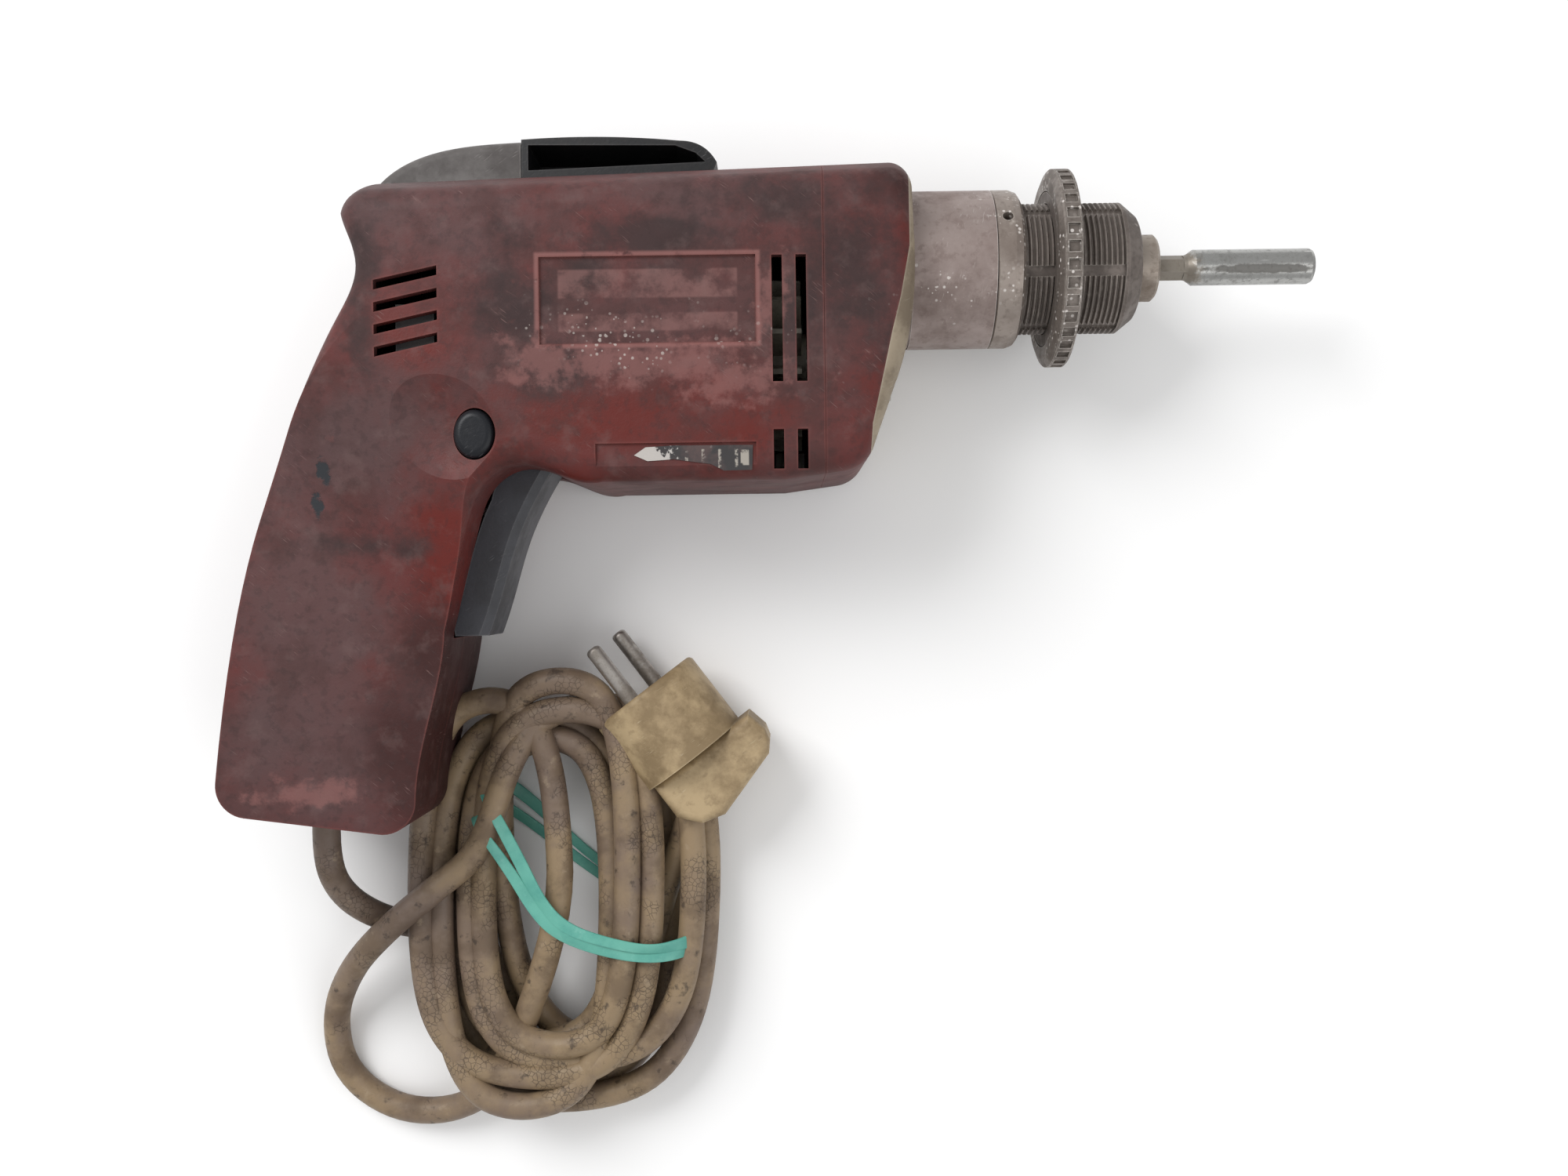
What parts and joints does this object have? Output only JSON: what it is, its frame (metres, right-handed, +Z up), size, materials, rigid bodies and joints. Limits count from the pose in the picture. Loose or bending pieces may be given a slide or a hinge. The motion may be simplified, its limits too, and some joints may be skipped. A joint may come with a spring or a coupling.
{
  "type": "corded drywall screwdriver",
  "caption": "Pistol-grip mains screwdriver with a geared motor, push clutch, threaded nose with toothed depth ring and bit holder, trigger, lock button, and its cord tied in a hank.",
  "frame": {"origin": "under the middle of the tool's box without its cord, on the surface that it lies on", "axes": "+X along the spindle towards the bit, +Y towards the top of the tool, +Z up, which is the tool's right-hand side"},
  "size_m": [0.3136, 0.2955, 0.068],
  "materials": {
    "housing_red": "worn satin, soiled",
    "front_cream": "worn",
    "hook_grey": "worn satin",
    "black_plastic": "satin",
    "inner_plastic": "moulded",
    "label": "printed, torn",
    "cast_metal": "cast and turned, scuffed",
    "thread_steel": "dull, soiled",
    "bright_steel": "bright",
    "hidden_steel": "machined",
    "lamination": "stacked sheet",
    "winding": "enamelled copper wire",
    "commutator_copper": "turned",
    "carbon": "carbon",
    "cord_rubber": "soiled",
    "plug_cream": "soiled",
    "band_green": "elastic band"
  },
  "bodies": {
    "root": {"right_shell": "housing_red", "left_shell": "housing_red", "gear_cover": "housing_red", "front_plate": "front_cream", "hook_cap": "hook_grey", "hook_pocket": "black_plastic", "switch_body": "inner_plastic", "cord_clamp": "inner_plastic", "lock_seat": "inner_plastic", "rear_bearing_holder": "inner_plastic", "capacitor": "inner_plastic", "rating_label": "label", "gear_case": "cast_metal", "bearing_plate": "cast_metal", "clamp_ring": "cast_metal", "nose_sleeve": "thread_steel", "plug_pins": "bright_steel", "housing_screws": "hidden_steel", "cover_screws": "hidden_steel", "clamp_screws": "hidden_steel", "trigger_pin": "hidden_steel", "trigger_spring": "hidden_steel", "lock_spring": "hidden_steel", "brush_springs": "hidden_steel", "spindle_bearing_outer": "hidden_steel", "spindle_bearing_balls": "hidden_steel", "armature_bearing_outers": "hidden_steel", "armature_bearing_balls": "hidden_steel", "field_core": "lamination", "field_coils": "winding", "brush_holders": "commutator_copper", "sleeve_bush": "commutator_copper", "carbon_brushes": "carbon", "cord_lead": "cord_rubber", "cord_loop": "cord_rubber", "cord_hank": "cord_rubber", "cord_sleeve": "cord_rubber", "plug_body": "plug_cream", "hank_tie": "band_green"},
    "armature": {"armature_shaft": "hidden_steel", "armature_core": "lamination", "armature_winding": "winding", "commutator": "commutator_copper", "cooling_fan": "inner_plastic", "armature_bearing_inners": "hidden_steel"},
    "drive_gear": {"output_gear": "hidden_steel", "gear_bush": "commutator_copper"},
    "spindle_carrier": {"spindle_bearing_inner": "hidden_steel", "clutch_spring": "hidden_steel"},
    "spindle": {"spindle": "bright_steel", "clutch_cone": "hidden_steel", "bit_clip": "hidden_steel", "bit_holder": "bright_steel", "holder_magnet": "hidden_steel"},
    "trigger": {"trigger": "black_plastic"},
    "lock_button": {"lock_button": "black_plastic"},
    "index_washer": {"index_washer": "thread_steel"},
    "depth_ring": {"depth_ring": "thread_steel"}
  },
  "joints": [
    {"name": "armature_spin", "type": "hinge", "parent": "root", "child": "armature", "pos_m": [-0.04214, 0.03404, 0.034], "axis": [1, 0, 0], "continuous": true},
    {"name": "gear_spin", "type": "hinge", "parent": "root", "child": "drive_gear", "pos_m": [0.02186, 0.06104, 0.034], "axis": [1, 0, 0], "continuous": true},
    {"name": "spindle_spin", "type": "hinge", "parent": "root", "child": "spindle_carrier", "pos_m": [0.04586, 0.06104, 0.034], "axis": [1, 0, 0], "continuous": true},
    {"name": "spindle_push", "type": "slide", "parent": "spindle_carrier", "child": "spindle", "axis": [-1, 0, 0], "range_m": [0, 0.0024], "stiffness_N_per_m": 2500, "springref_m": -0.004, "deforming": ["clutch_spring"]},
    {"name": "trigger_pull", "type": "hinge", "parent": "root", "child": "trigger", "pos_m": [-0.07114, 0.00654, 0.034], "axis": [0, 0, -1], "range_deg": [0, 5], "stiffness_Nm_per_rad": 3, "springref_deg": -5.73, "deforming": ["trigger_spring"]},
    {"name": "lock_press", "type": "slide", "parent": "root", "child": "lock_button", "axis": [0, 0, -1], "range_m": [0, 0.003], "stiffness_N_per_m": 400, "springref_m": -0.003, "deforming": ["lock_spring"]},
    {"name": "ring_travel", "type": "slide", "parent": "root", "child": "index_washer", "axis": [1, 0, 0], "range_m": [-0.00752, 0.01352]},
    {"name": "ring_turn", "type": "hinge", "parent": "index_washer", "child": "depth_ring", "pos_m": [0.08086, 0.06104, 0.034], "axis": [1, 0, 0], "range_deg": [-1800, 3240]}
  ],
  "couplings": [
    {"joint": "gear_spin", "follows": "armature_spin", "ratio": -0.25581},
    {"joint": "ring_travel", "follows": "ring_turn", "m_per_rad": 0.00023873}
  ]
}
